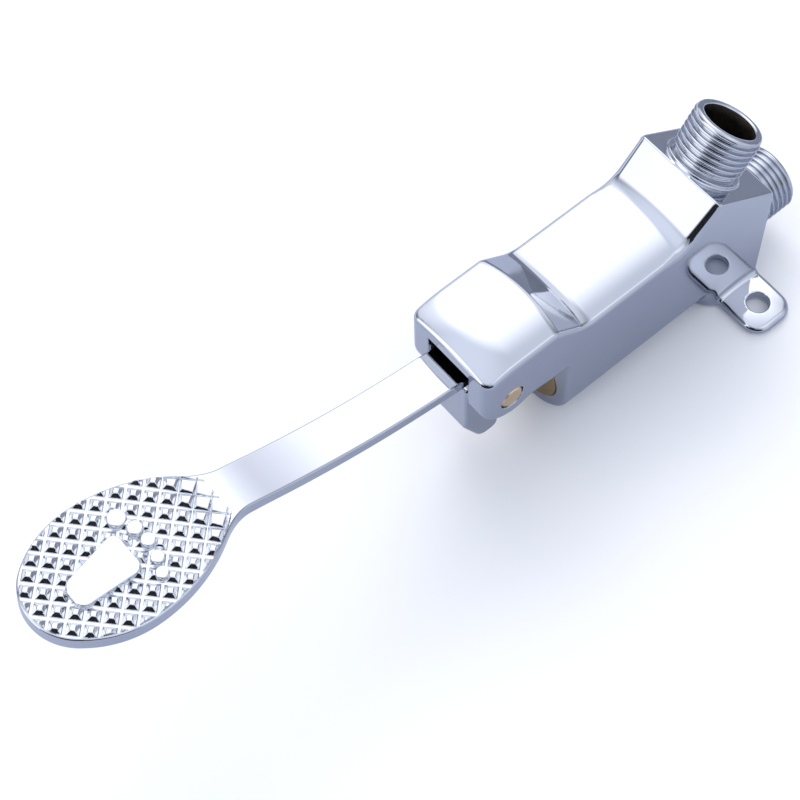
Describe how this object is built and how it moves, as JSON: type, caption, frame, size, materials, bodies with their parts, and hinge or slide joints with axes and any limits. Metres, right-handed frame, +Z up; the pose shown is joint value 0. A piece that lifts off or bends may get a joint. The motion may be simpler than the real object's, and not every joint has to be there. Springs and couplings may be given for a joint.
{
  "type": "foot pedal tap valve",
  "caption": "Chrome-plated brass floor tap valve: a hooded body with half-inch pipe connections, opened by a bell-crank foot pedal that pushes a sprung stem off its seat.",
  "frame": {"origin": "on the floor, midway between the two floor screw holes", "axes": "+Z up from the floor, -Y towards the pedal, +Y towards the inlet connection, X across the valve"},
  "size_m": [0.064, 0.2536, 0.0814],
  "materials": {
    "chrome_body": "polished chrome plate on cast brass",
    "chrome_lever": "polished chrome plate",
    "brass": "machined brass",
    "rubber": "matt nitrile rubber",
    "fibre": "pressed fibre",
    "steel": "drawn stainless steel"
  },
  "bodies": {
    "valve": {"valve_body": "chrome_body", "pivot_pin": "brass", "gland_nut": "brass", "gland_gasket": "fibre", "front_stem_o_ring": "rubber", "rear_stem_o_ring": "rubber", "o_ring_retainer": "brass", "valve_cage": "brass", "cage_o_ring": "rubber", "return_spring": "steel", "spring_seat": "brass"},
    "pedal": {"pedal_lever": "chrome_lever"},
    "stem": {"valve_stem": "brass", "seal_washer": "rubber", "washer_cup": "brass", "lock_washer": "steel", "stem_nut": "brass"}
  },
  "joints": [
    {"name": "pedal_pivot", "type": "hinge", "parent": "valve", "child": "pedal", "pos_m": [0, -0.0891, 0.0418], "axis": [1, 0, 0], "range_deg": [0, 10], "stiffness_Nm_per_rad": 2.07, "springref_deg": -18.33},
    {"name": "stem_slide", "type": "slide", "parent": "valve", "child": "stem", "axis": [0, 1, 0], "range_m": [0, 0.0048], "deforming": ["return_spring"]}
  ],
  "couplings": [
    {"joint": "stem_slide", "follows": "pedal_pivot", "m_per_rad": 0.0275}
  ]
}
